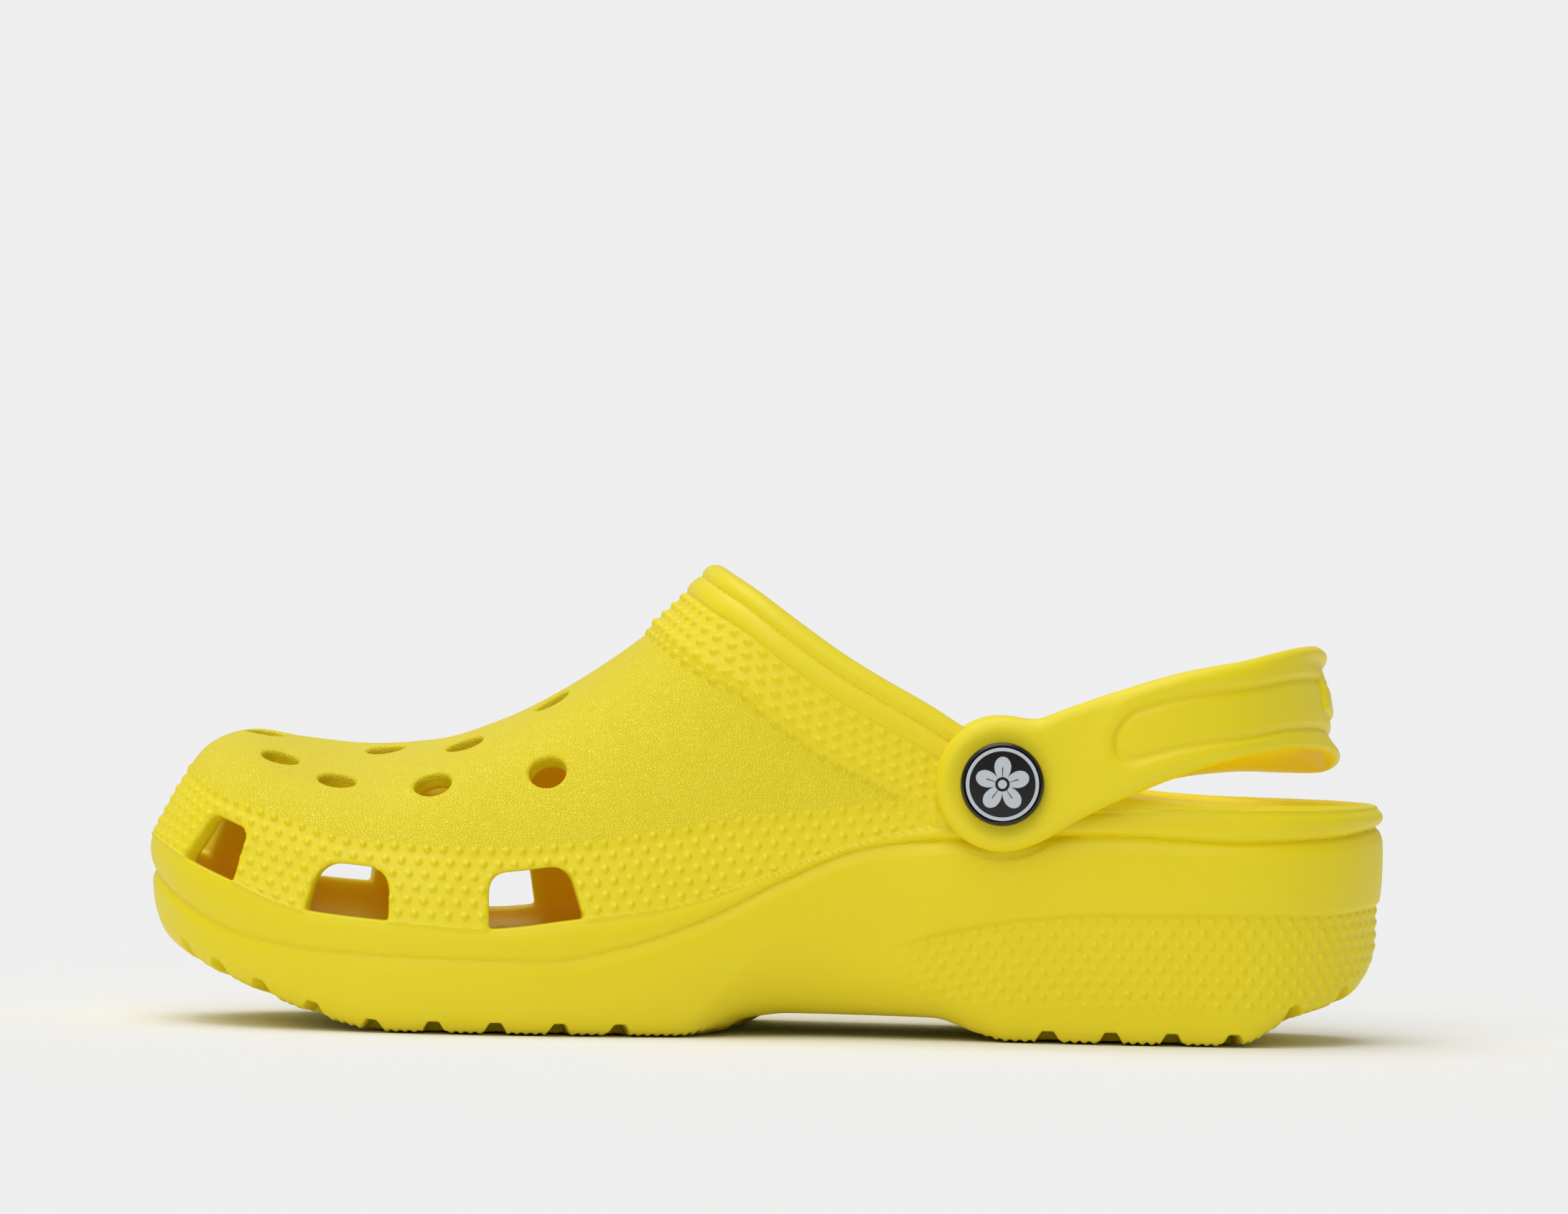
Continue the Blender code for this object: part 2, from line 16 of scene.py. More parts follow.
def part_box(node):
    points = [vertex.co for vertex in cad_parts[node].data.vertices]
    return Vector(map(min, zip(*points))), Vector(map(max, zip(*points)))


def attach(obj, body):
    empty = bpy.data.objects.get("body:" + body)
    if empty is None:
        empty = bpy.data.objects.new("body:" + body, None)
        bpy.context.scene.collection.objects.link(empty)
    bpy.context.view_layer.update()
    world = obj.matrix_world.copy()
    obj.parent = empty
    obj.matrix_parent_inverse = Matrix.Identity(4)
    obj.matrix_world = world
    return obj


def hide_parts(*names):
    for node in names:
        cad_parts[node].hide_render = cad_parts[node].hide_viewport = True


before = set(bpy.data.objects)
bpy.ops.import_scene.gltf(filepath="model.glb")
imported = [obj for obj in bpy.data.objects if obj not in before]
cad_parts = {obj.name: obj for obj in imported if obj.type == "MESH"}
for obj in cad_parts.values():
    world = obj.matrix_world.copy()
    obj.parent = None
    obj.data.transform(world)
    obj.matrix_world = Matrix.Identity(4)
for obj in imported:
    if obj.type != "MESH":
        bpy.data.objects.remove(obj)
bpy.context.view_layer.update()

MM = 0.001
VOXEL = 0.5
STRAP_VOXEL = 0.4
SLAB = 24
BAND = 3.0  # voxels kept on each side of a surface
NUDGE = 0.2  # the step for a field's slope, in mm

# ---------------------------------------------------------------- the clog's driving lines
# The outline seen from above at its widest level, from the toe tip round the inner side.
PLAN = [
    (-132.4, -8.5), (-130.0, -20.5), (-122, -32.5), (-106, -42.5), (-82, -49), (-56, -50.5), (-30, -47),
    (-4, -41), (24, -38), (56, -38), (88, -38.5), (108, -34.5), (122, -25), (130, -11.5),
    (132, 0.5), (129, 13.5), (119, 27.5), (100, 35.5), (72, 37.5), (40, 39.5), (8, 43.5), (-24, 48.5),
    (-52, 50.5), (-80, 47), (-104, 37), (-120, 24.5), (-129.5, 9.5),
]
# Side-view lines, each as (x, height), or as (x, amount).
TOP = [(-133, 55), (-127, 60.0), (-120, 62.6), (-112, 62.5), (-100, 60.7), (-86, 59.6), (-72, 60.8),
       (-58, 65.3), (-45, 72), (-26, 85.3), (-12, 98.8), (2, 113.3), (30, 131), (133, 135)]
# How much lower the vamp is 50 mm away from its crest.
CROWN = [(-133, 12), (-115, 13.6), (-105, 13.4), (-92.5, 13), (-72, 17.4), (-60, 26), (-30, 48), (-12, 65),
         (34, 110), (133, 110)]
PARTING = [(-133, 40.5), (-124.6, 35.7), (-115, 31.5), (-99.4, 25.8), (-82, 24), (-60, 22.6),
           (-40, 24.9), (-22.5, 27.3), (-5, 32.6), (12, 39.4), (29, 44.6), (67.5, 50.4), (133, 50.7)]
GROOVE = [(-133, 34.6), (-127, 28.4), (-114, 21.1), (-97.6, 17.7), (-81, 16.8), (-47, 16.4), (-30, 19.5),
          (-13.3, 25.4), (3.6, 34.1), (20.4, 41.1), (34, 43.2), (71, 45), (100, 44), (121, 45), (133, 47)]
PANEL_TOP = [(20, 17), (34, 22.6), (54, 26.8), (71, 28.3), (105, 28.8), (121.5, 29.1), (133, 30.5)]
BOTTOM = [(-133, 26), (-128.6, 18.6), (-123.4, 14.8), (-118.7, 12.3), (-109.5, 8.4), (-98, 4),
          (-90, 1.6), (-82, 0), (-18, 0), (-8, 3.6), (3, 4.8), (36, 4.5), (46, 1.6), (52, 0), (101, 0),
          (113, 6), (122, 9), (126, 11), (130, 16), (133, 24)]
RIM = [(-40, 126), (-12, 102), (-3, 96), (6, 89.5), (16, 82.6), (25, 77.3), (34, 72.4), (45, 65.8),
       (60, 58.9), (75, 55), (88, 53.3), (101, 52.6), (133, 52.4)]
# How much lower the rim is on the outer side.
RIM_DROP = [(-40, 3), (40, 3), (80, 2), (105, 1.7), (133, 1.7)]
RIM_INNER_Y, RIM_SPAN = -38.0, 76.0
FOOTBED = [(-133, 34), (-120, 27), (-104, 22.5), (-86, 20), (-60, 18.5), (-35, 20), (-10, 26), (20, 31),
           (50, 31.5), (80, 30), (110, 31), (133, 40)]
# How far the side walls lean in, per mm of height.
LEAN = [(-133, 0.4), (-110, 0.34), (-80, 0.3), (-30, 0.2), (0, 0.15), (40, 0.08), (133, 0.05)]
VAMP_EDGE = [(-133, 58), (-126, 55), (-118.7, 50.2), (-112, 47.4), (-99.7, 43.6), (-88, 40.5),
             (-58.5, 39.3), (-39.7, 40.8), (-22.5, 43.5), (-4.6, 46.6), (12, 48.7), (35, 51.6), (133, 53)]

# How far the sole's side draws in from its widest level down to its edge, and how round that edge is.
TUCK = [(-133, 1), (-118, 2.6), (-105, 3.2), (90, 3.2), (112, 0.8), (133, 0.2)]
EDGE = [(-133, 4), (-105, 4.5), (-25, 4.5), (5, 8), (38, 8), (62, 4.5), (115, 3.5), (133, 3)]
SHOULDER, TOE_SHOULDER = 15.0, 9.5  # the rounding between the side walls and the vamp, and at the toe
CEILING, WALL, FLOOR_FILLET = 112.0, 4.2, 10.0
RIM_EDGE, MOUTH_EDGE = 3.6, 2.6  # how round the rim is outside, and inside
OUTER_RISE = 3.6  # how much higher the level lines run round the outer side of the toe
TOE_CREST = 8.0  # how far the crest of the toe stands towards the outer side
ARCH_X, ARCH_HALF, ARCH_LIFT, ARCH_SKEW = 14.0, 33.0, 12.5, 20.0  # the scoop under the inner arch
# Each vent: x of its foot's middle, side, the foot's width, the top's width, height, corner radius.
VENTS = [(-120.4, -1, 14.5, 10.5, 12.2, 2.0), (-89.8, -1, 18.5, 15.8, 11.0, 5.0),
         (-48.5, -1, 20.8, 17.8, 11.8, 4.0), (-127.0, 1, 14.0, 10.5, 11.5, 2.0),
         (-94.6, 1, 18.0, 15.4, 11.5, 4.0), (-60.1, 1, 19.9, 15.8, 12.1, 4.0)]
VENT_DEPTH = 14.0
HOLE_R, HOLE_DEPTH = 4.0, 9.0
CUT_EDGE = 1.1  # how round the edges of the vents and the vamp's holes are
FAR = 9.0  # a field value well outside a cut
HOLES = [(-47.5, -32.6), (-47, -7.8), (-50, 20.5), (-65.4, -14.5), (-66, 10.5), (-72, -30.6), (-72, 33.5),
         (-82.4, -2.6), (-86, 17), (-92.3, -24.2), (-100, 28), (-104.6, -15.0), (-108.5, 4.5)]
FRONT_NOTCHES = (-126.0, -118.9, -109.4, -97.4, -84.3, -70.7, -57.0, -42.9, -29.8)
REAR_NOTCHES = (60.8, 74.3, 87.8, 101.7, 114.6, 125.6)
OUTER_LAST_NOTCH = -18.3
NOTCH_HALF, NOTCH_DEEP, LUG_REACH, TOOTH = 2.1, 2.8, 13.0, 2.1
SOLE_SLACK = 0.9  # the sole's base stands this far inside, so that its bead reaches the outline

# ---------------------------------------------------------------- the strap and its rivets
PIVOT_X, PIVOT_Z = 50.0, 54.2
AXIS_TILT = math.radians(2.3)
RING_R, RING_HOLE_R, WALL_HOLE_R, SEAT_R, SOCKET_SEAT_R = 14.6, 3.75, 3.8, 15.9, 7.6
RING_THICK, SOCKET_H, EMBLEM_R = 4.4, 2.4, 7.9
INNER_RING_Y, OUTER_RING_Y = -37.5, 38.0
SEAT_GAP = 0.3
# The strap's middle line as it lies level: x, y, the middle's height, and half the strap's height.
STRAP_PATH = [
    (50.0, -39.7, 54.2, 11.0), (62, -40.3, 57.5, 12.8), (74, -41.1, 62.6, 12.1), (88, -40.1, 67.8, 11.3),
    (101, -35, 71.3, 10.5), (111, -24, 73.6, 10.8), (116.8, -11, 73.6, 11.7), (118, 0, 71.6, 12.7),
    (116, 12, 69.8, 12.2), (110, 24, 68.6, 11.2), (100, 33.5, 67.8, 10.5), (87, 39.3, 66.2, 10.9),
    (74, 40.7, 62.2, 11.7), (62, 40.5, 57.4, 12.3), (50.0, 40.2, 54.2, 11.0),
]


def through(points):
    """A smooth line through (x, value) points that never overshoots them."""
    x, y = np.array(points, float).T
    step = np.diff(x)
    slope = np.diff(y) / step
    flat = slope[:-1] * slope[1:] <= 0
    mean = 2 * slope[:-1] * slope[1:] / np.where(flat, 1, slope[:-1] + slope[1:])
    lean_at = np.concatenate([slope[:1], np.where(flat, 0, mean), slope[-1:]])

    def line(at):
        at = np.clip(at, x[0], x[-1])
        i = np.clip(np.searchsorted(x, at) - 1, 0, len(step) - 1)
        t = (at - x[i]) / step[i]
        rise = step[i] * (lean_at[i] * t * (1 - t) ** 2 - lean_at[i + 1] * t * t * (1 - t))
        return y[i] + (y[i + 1] - y[i]) * t * t * (3 - 2 * t) + rise

    return line


def closed_curve(points, per_span):
    """Points on a closed Catmull-Rom curve."""
    p = np.array(points, float)
    before, after, second = np.roll(p, 1, 0), np.roll(p, -1, 0), np.roll(p, -2, 0)
    t = (np.arange(per_span) / per_span)[None, :, None]
    a, b, c, d = (q[:, None, :] for q in (before, p, after, second))
    curve = b + 0.5 * t * (c - a + t * (2 * a - 5 * b + 4 * c - d + t * (3 * (b - c) + d - a)))
    return curve.reshape(-1, p.shape[1])


def open_curve(points, count):
    """Points on an open Catmull-Rom curve."""
    p = np.array(points, float)
    p = np.vstack([2 * p[0] - p[1], p, 2 * p[-1] - p[-2]])
    at = np.linspace(0, len(points) - 1, count)
    i = np.minimum(at.astype(int), len(points) - 2)
    t = (at - i)[:, None]
    a, b, c, d = p[i], p[i + 1], p[i + 2], p[i + 3]
    return b + 0.5 * t * (c - a + t * (2 * a - 5 * b + 4 * c - d + t * (3 * (b - c) + d - a)))


def larger(a, b, blend):
    """The larger of two fields, with the edge between them rounded over that distance."""
    near = np.maximum(blend - np.abs(a - b), 0) / blend
    return np.maximum(a, b) + near * near * (blend / 4)


def smaller(a, b, blend):
    return -larger(-a, -b, blend)


def ramp(value, low, high):
    """0 below low, 1 above high, smooth between."""
    t = np.clip((value - low) / (high - low), 0, 1)
    return t * t * (3 - 2 * t)


def ridge(value, width):
    """A soft bump of height 1 where value is 0."""
    return np.exp(-((value / width) ** 2))


def studs(u, v, pitch_u, pitch_v, radius, height):
    """Rows of round bumps, each row shifted by half a pitch."""
    row = np.round(v / pitch_v)
    column = u / pitch_u - 0.5 * (row % 2)
    off_u = (column - np.round(column)) * pitch_u
    off_v = v - row * pitch_v
    return height * np.maximum(1 - (off_u**2 + off_v**2) / radius**2, 0)


top, crown, parting, groove = through(TOP), through(CROWN), through(PARTING), through(GROOVE)
bottom, footbed, lean = through(BOTTOM), through(FOOTBED), through(LEAN)
rim, rim_drop, tuck, sole_edge = through(RIM), through(RIM_DROP), through(TUCK), through(EDGE)
vamp_edge, panel_top = through(VAMP_EDGE), through(PANEL_TOP)
outline = closed_curve(PLAN, 20)
outline_run = np.roll(outline, -1, 0) - outline
outline_length = np.hypot(*outline_run.T)
outline_start = np.cumsum(outline_length) - outline_length
OUTLINE_LOOP = float(outline_length.sum())
pivot = Vector((PIVOT_X, 0, PIVOT_Z)) * MM
leaned = Matrix.Translation(pivot) @ Matrix.Rotation(-AXIS_TILT, 4, "X") @ Matrix.Translation(-pivot)


def nearest_on(starts, runs, x, y):
    """For points: the nearest segment, the share along it, the distance, and the offsets from its start."""
    px, py = x[:, None] - starts[:, 0], y[:, None] - starts[:, 1]
    t = np.clip((px * runs[:, 0] + py * runs[:, 1]) / (runs**2).sum(1), 0, 1)
    off = np.hypot(px - t * runs[:, 0], py - t * runs[:, 1])
    which = off.argmin(1)
    rows = np.arange(len(which))
    return which, t[rows, which], off[rows, which], px[rows, which], py[rows, which]


class FloorPlan:
    """Values worked out once over a grid seen from above, and read from it by interpolation."""

    def __init__(self, low, high, step, values_at, loop):
        self.low, self.step, self.loop = low, step, loop
        xs = np.arange(low[0], high[0] + step, step)
        ys = np.arange(low[1], high[1] + step, step)
        rows = [values_at(np.full(len(ys), x), ys) for x in xs]
        self.maps = [np.array([row[k] for row in rows]) for k in range(len(rows[0]))]

    def at(self, x, y):
        """The values at x and y; the first one runs round a closed loop and is read across its seam."""
        x, y = np.broadcast_arrays(x, y)
        across, up = (x - self.low[0]) / self.step, (y - self.low[1]) / self.step
        i = np.clip(across.astype(int), 0, self.maps[0].shape[0] - 2)
        j = np.clip(up.astype(int), 0, self.maps[0].shape[1] - 2)
        u, v = across - i, up - j
        found = []
        for number, values in enumerate(self.maps):
            a = values[i, j]
            b, c, d = (q - a for q in (values[i + 1, j], values[i, j + 1], values[i + 1, j + 1]))
            if number == 0 and self.loop:
                b, c, d = (q - self.loop * np.round(q / self.loop) for q in (b, c, d))
            found.append(a + u * b + v * c + u * v * (d - b - c))
        return found


def outline_values(x, y):
    """The place along the outline of the nearest point on it, and the distance inside it."""
    which, t, off, _, _ = nearest_on(outline, outline_run, x, y)
    ahead = np.roll(outline, -1, 0)
    crosses = (outline[:, 1] > y[:, None]) != (ahead[:, 1] > y[:, None])
    run_y = np.where(outline_run[:, 1] == 0, 1, outline_run[:, 1])
    cut = outline[:, 0] + (y[:, None] - outline[:, 1]) * outline_run[:, 0] / run_y
    inside = (crosses & (x[:, None] < cut)).sum(1) % 2 == 1
    return outline_start[which] + t * outline_length[which], np.where(inside, off, -off)


def along_at(x, side):
    """The place along the outline at x on one side."""
    of_side = outline[:, 1] * side > 0
    order = np.argsort(outline[of_side, 0])
    return float(np.interp(x, outline[of_side, 0][order], outline_start[of_side][order]))


def raised(x, y):
    """How much higher the level lines run round the outer side of the toe."""
    return OUTER_RISE * ramp(y, -10, 30) * ramp(-x, 62, 84) * (1 - ramp(-x, 100, 126))


def middle(x):
    """The y of the clog's middle line, halfway between its two sides."""
    return 1.8 * np.cos(np.clip((x + 40) / 60, -math.pi / 2, math.pi / 2)) - 0.3


def vamp_height(x, y):
    """The upper's top surface, carried on over the mouth."""
    toe = ramp(-x, 62, 92)
    away = np.abs(y - middle(x) - TOE_CREST * toe) / 50
    return np.minimum(top(x) - crown(x) * away ** (2.4 - 0.85 * toe), CEILING)


def vamp_slopes(x, y):
    h = 0.5
    height = vamp_height(x, y)
    return height, (vamp_height(x + h, y) - height) / h, (vamp_height(x, y + h) - height) / h


def sole_height(x, y):
    """The sole's underside: arched in the middle, and scooped up towards the inner side there."""
    near_arch = np.clip(1 - np.abs(x - ARCH_X) / ARCH_HALF, 0, 1)
    bump = near_arch * near_arch * (3 - 2 * near_arch)
    to_inner = np.clip((-21.5 - y) / 17, 0, 1)
    return bottom(skewed(x, y)) + ARCH_LIFT * bump * to_inner**2


def skewed(x, y):
    """x moved so that the front tread ends further back on the outer side."""
    front = np.clip(1 - np.abs(x + 8) / 30, 0, 1)
    return x - ARCH_SKEW * front * (y + 46.5) / 90


def shoulder(x):
    """How wide the rounding is between the side wall and the vamp."""
    return SHOULDER - (SHOULDER - TOE_SHOULDER) * ramp(-x, 65, 95)


def side_inset(x, y, z):
    """How far the side wall stands inside the outline at each height."""
    level = parting(x) + raised(x, y)
    share = np.clip((level - z) / (level - bottom(x)), 0, 1)
    return np.where(z > level, lean(x) * (z - level), tuck(x) * share**2)


# ---------------------------------------------------------------- surface relief, outwards in mm
COLLAR_WIDTH, COLLAR_RAISED = 19.6, 0.95
COLLAR_BACK = (52, 60)  # the collar fades out over these x, under the strap's ring
BEAD_1, BEAD_2 = 4.4, 8.8  # where the rim's two round beads end
BEAD_HEIGHTS = (1.15, 0.8)
# Dots: the pitch along a row, the pitch from row to row, the radius, the height.
COLLAR_DOTS = (3.35, 2.57, 0.95, 0.62)
BAND_DOTS = (3.62, 2.75, 0.92, 0.62)
PANEL_DOTS = (3.62, 2.6, 1.0, 0.42)
INSIDE_NUBS = (6.0, 5.2, 2.1, 0.9)
FIRST_ROW = 1.4  # from the second bead's end to the collar's first row of dots
DOTS_PAST = 2.1  # the last row stands on the collar's soft step, past its width
PANEL_DEPTH = 0.5


def rim_distance(x, y, z):
    """How far a point is under the rim's cutting plane, which is lower on the outer side."""
    slope = rim(x + 0.5) - rim(x - 0.5)
    height = rim(x) - rim_drop(x) * (y - RIM_INNER_Y) / RIM_SPAN
    return (height - z) / np.sqrt(1 + slope**2)


def half_round(value, low, high):
    """A bead of height 1 between low and high, half of an ellipse across."""
    return np.sqrt(np.maximum(1 - (2 * (value - low) / (high - low) - 1) ** 2, 0))


def collar_relief(x, y, z):
    """The raised band round the mouth: two round beads at the rim and rows of dots below them."""
    under = rim_distance(x, y, z)
    step = COLLAR_RAISED * (1 - ramp(under, COLLAR_WIDTH - 1.3, COLLAR_WIDTH + 1.3))
    upper, lower = BEAD_HEIGHTS
    beads = upper * half_round(under, -BEAD_1, BEAD_1) + lower * half_round(under, BEAD_1, BEAD_2)
    foot_x = x + 0.6 * under
    round_rim = np.sqrt((y - middle(x)) ** 2 + 1.56 * (foot_x + 12) ** 2)
    last = COLLAR_WIDTH + DOTS_PAST
    dotted = ramp(under, BEAD_2 + 0.1, BEAD_2 + 0.5) * (1 - ramp(under, last, last + 0.2))
    dots = dotted * studs(round_rim, under - BEAD_2 - FIRST_ROW, *COLLAR_DOTS)
    return (step + beads + dots) * (1 - ramp(x, *COLLAR_BACK))


def upper_relief(x, y, z, along):
    """The lower dotted band, sunk a little under the vamp's edge, and the collar."""
    lift = raised(x, y)
    seam, edge = parting(x) + lift, vamp_edge(x) + lift
    under = rim_distance(x, y, z)
    banded = ramp(under, COLLAR_WIDTH + 1.8, COLLAR_WIDTH + 2.4) * (1 - ramp(x, *COLLAR_BACK))
    sunk = 0.3 * (1 - ramp(z, edge - 1.6, edge + 0.8))
    rows = studs(along, edge - z, *BAND_DOTS) * (1 - 0.484 * ramp(-x, 112, 126))
    dots = rows * ramp(z, seam + 1.0, seam + 1.4) * (1 - ramp(z, edge + 0.9, edge + 1.1))
    return collar_relief(x, y, z) + banded * (dots - sunk)


def sole_relief(x, y, z, along):
    """Bead under the parting line, groove, full side below it, and the heel's sunk dotted panel."""
    lift = raised(x, y)
    seam, line, panel = parting(x) + lift, groove(x) + lift, panel_top(x)
    at_heel = ramp(x, 24, 38)
    bead = (0.85 + 0.35 * at_heel) * half_round(z, line, np.maximum(seam, line + 1.0))
    cut = -(0.3 + 0.35 * at_heel) * ridge(z - line, 0.7)
    side = 0.6 * ramp(line - z, 0.3, 3.5) * np.maximum(1 - ramp(line - z, 9, 22), at_heel)
    sunk = at_heel * (1 - ramp(z, panel - 0.8, panel + 0.4))
    dots = studs(along, panel - z - 1.7, *PANEL_DOTS) * ramp(z, 7.0, 9.5)
    dots = dots * (1 - ramp(z, panel - 0.7, panel - 0.4))
    bulge = 0.8 * at_heel * half_round(z, panel - 0.5, line)
    return bead + cut + side + bulge + sunk * (dots - PANEL_DEPTH)


def tread_carve(x, y, z, depth, along):
    """How far the sole's underside is cut up from its lowest surface: notches, teeth, channels and ribs."""
    back = skewed(x, y)
    ground = 1 - ramp(back, -17, -12) * (1 - ramp(back, 45, 50))
    wide = NOTCH_HALF - 0.35 * np.clip(z - bottom(back) - 1.4, -1.4, 1.4)
    notch = np.zeros_like(depth + z)
    for place in notch_places:
        away = np.abs(along - place)
        if away.min() < 5:
            notch = np.maximum(notch, 1 - ramp(away, wide - 0.5, wide + 0.5))
    lugs = 1 - ramp(depth, LUG_REACH - 1.2, LUG_REACH)
    teeth = 1.8 * np.abs(along / TOOTH - np.round(along / TOOTH)) * lugs
    channel = 1.8 * ridge(depth - LUG_REACH - 1.2, 1.1)
    wave = x + 3.0 * np.cos(y * (2 * math.pi / 26))
    ribs = 1.6 * ramp(np.cos(wave * (2 * math.pi / 8.5)), 0.45, 0.8) * ramp(depth, LUG_REACH, LUG_REACH + 1)
    return ground * np.maximum(np.maximum(NOTCH_DEEP * notch * lugs, channel), np.maximum(ribs, teeth))


# ---------------------------------------------------------------- the clog's field
def from_axis(x, y, z):
    """The distance from the strap's axis, and the place along it."""
    down, up = math.sin(AXIS_TILT), math.cos(AXIS_TILT)
    level = y * up - (z - PIVOT_Z) * down
    return np.sqrt((x - PIVOT_X) ** 2 + (y * down + (z - PIVOT_Z) * up) ** 2), level


def vent_cut(z, seam, depth, along):
    """Negative inside the side vents, which stand square on the parting line."""
    cut = np.full(np.broadcast_shapes(depth.shape, z.shape), FAR)
    up = z - seam - 0.3
    for x, side, foot, head, height, corner in VENTS:
        sideways = (along - along_at(x, side)) * -side
        if np.abs(sideways).min() > 16:
            continue
        tilt = (parting(x - 1) - parting(x + 1)) / 2 * (1 - 0.45 * ramp(-x, 100, 115))
        half = foot / 2 + (head - foot) / 2 * up / height
        across = np.abs(sideways - tilt * up) - half
        opening = larger(across, up - height, corner * 1.15)
        opening = larger(opening, -up, 1.0)
        cut = np.minimum(cut, np.maximum(opening, depth - VENT_DEPTH))
    return cut


def hole_cut(x, y, z):
    """Negative inside the vamp's round holes."""
    cut = np.full(np.broadcast_shapes(x.shape, y.shape, z.shape), FAR)
    for hx, hy in HOLES:
        if abs(x - hx).min() > 12:
            continue
        height, slope_x, slope_y = (float(v) for v in vamp_slopes(np.float64(hx), np.float64(hy)))
        length = math.sqrt(slope_x**2 + slope_y**2 + 1)
        off = (x - hx, y - hy, z - height)
        up = (-slope_x * off[0] - slope_y * off[1] + off[2]) / length
        radius = np.sqrt(np.maximum(off[0] ** 2 + off[1] ** 2 + off[2] ** 2 - up**2, 0))
        cut = np.minimum(cut, np.maximum(radius - HOLE_R, -up - HOLE_DEPTH))
    return cut


def clog_field(x, y, z):
    along, depth = clog_plan.at(x, y)
    height, slope_x, slope_y = vamp_slopes(x, y)
    over_vamp = (z - height) / np.sqrt(1 + slope_x**2 + slope_y**2)
    seam = parting(x) + raised(x, y)
    above = ramp(z, seam - 0.3, seam + 0.3)
    relief = above * upper_relief(x, y, z, along) + (1 - above) * (sole_relief(x, y, z, along) - SOLE_SLACK)
    relief = relief + 0.3 * ridge(z - seam, 0.4)
    outer = larger(side_inset(x, y, z) - depth, over_vamp, shoulder(x)) - relief
    sole = sole_height(x, y)
    outer = larger(outer, sole - z, sole_edge(x))
    outer = larger(outer, sole + tread_carve(x, y, z, depth, along) - z, 0.4)
    inner_wall = side_inset(x, y, np.maximum(z, seam)) - depth + WALL
    nubs = studs(x, y, *INSIDE_NUBS) * ramp(depth, 11, 13)
    cavity = larger(inner_wall, over_vamp + WALL, shoulder(x))
    cavity = larger(cavity, footbed(x) + nubs - z, FLOOR_FILLET)
    body = larger(outer, -rim_distance(x, y, z), RIM_EDGE)
    body = larger(body, -cavity, MOUTH_EDGE)
    body = larger(body, -vent_cut(z, seam, depth, along), CUT_EDGE)
    body = larger(body, -hole_cut(x, y, z), CUT_EDGE)
    return rivet_seats(body, x, y, z)


def rivet_seats(body, x, y, z):
    """The flat seats for the strap's rings and the sockets, and the rivets' holes."""
    radius, level = from_axis(x, y, z)
    for limit, sign in ((INNER_RING_Y + SEAT_GAP, -1), (OUTER_RING_Y - SEAT_GAP, 1)):
        body = larger(body, -np.maximum(radius - SEAT_R, sign * (limit - level)), 0.8)
    between = np.maximum(socket_low - SEAT_GAP - level, level - socket_high - SEAT_GAP)
    body = larger(body, -np.maximum(radius - SOCKET_SEAT_R, between), 0.8)
    return larger(body, WALL_HOLE_R - radius, 0.6)


# ---------------------------------------------------------------- the strap's field
strap_points = open_curve([(20, -39.7, 54.2, 12.6)] + STRAP_PATH + [(20, 40.2, 54.2, 12.6)], 420)
strap_run = np.diff(strap_points[:, :2], axis=0)
strap_length = np.hypot(*strap_run.T)
strap_start = np.concatenate([[0], np.cumsum(strap_length)])
STRAP_MIDDLE = strap_start[np.abs(strap_points[:, 1]).argmin()]
PILL_END, PILL_HALF = 68.0, 5.2


def strap_values(x, y):
    """The place along the strap, the distance outwards from its middle line, its height and half height."""
    which, t, off, px, py = nearest_on(strap_points[:-1], strap_run, x, y)
    run = strap_run[which]
    outwards = np.sign(px * run[:, 1] - py * run[:, 0])
    values = strap_points[which] + t[:, None] * (strap_points[which + 1] - strap_points[which])
    return strap_start[which] + t * strap_length[which], off * outwards, values[:, 2], values[:, 3]


def strap_field(x, y, z):
    along, out, centre, half = strap_plan.at(x, y)
    up = z - centre
    from_back = np.abs(along - STRAP_MIDDLE)
    band = larger(np.abs(up) - half, PIVOT_X - x, 1.0)
    radius = np.sqrt((x - PIVOT_X) ** 2 + (z - PIVOT_Z) ** 2)
    flat = smaller(band, radius - RING_R, 4.5)
    lips = np.where(up < 0, 0.8, 1.4) * ridge(np.abs(up) - 11, 1.9) - 0.9 * ridge(np.abs(up) - 7.6, 1.8)
    out = out - ridge(from_back, 30.0) * (lips - 0.17 * up)
    over_pill = up - 1.0 + ramp(x, 75, 108) * 2.0
    pill_off = np.sqrt(np.maximum(from_back - PILL_END + PILL_HALF, 0) ** 2 + over_pill**2) - PILL_HALF
    on_band = ramp(x, 64, 70)
    relief = on_band * (0.4 * ridge(pill_off - 3.2, 2.2) - 0.95 * ridge(pill_off, 0.85))
    relief = relief - 0.3 * on_band * (1 - ramp(pill_off, -1.4, 0.0))
    plaque = np.maximum(from_back - 11, np.abs(up - 1.5) - 3.6)
    relief = relief + 1.0 * (1 - ramp(plaque, -0.6, 0.4))
    relief = relief - 0.2 * (1 - ramp(radius, 9.2, 12.0)) * (x < PIVOT_X + 14)
    face = np.maximum(out - RING_THICK / 2 - relief, -out - RING_THICK / 2)
    strap = larger(flat, face, 3.6)
    return larger(strap, RING_HOLE_R - radius, 0.6)


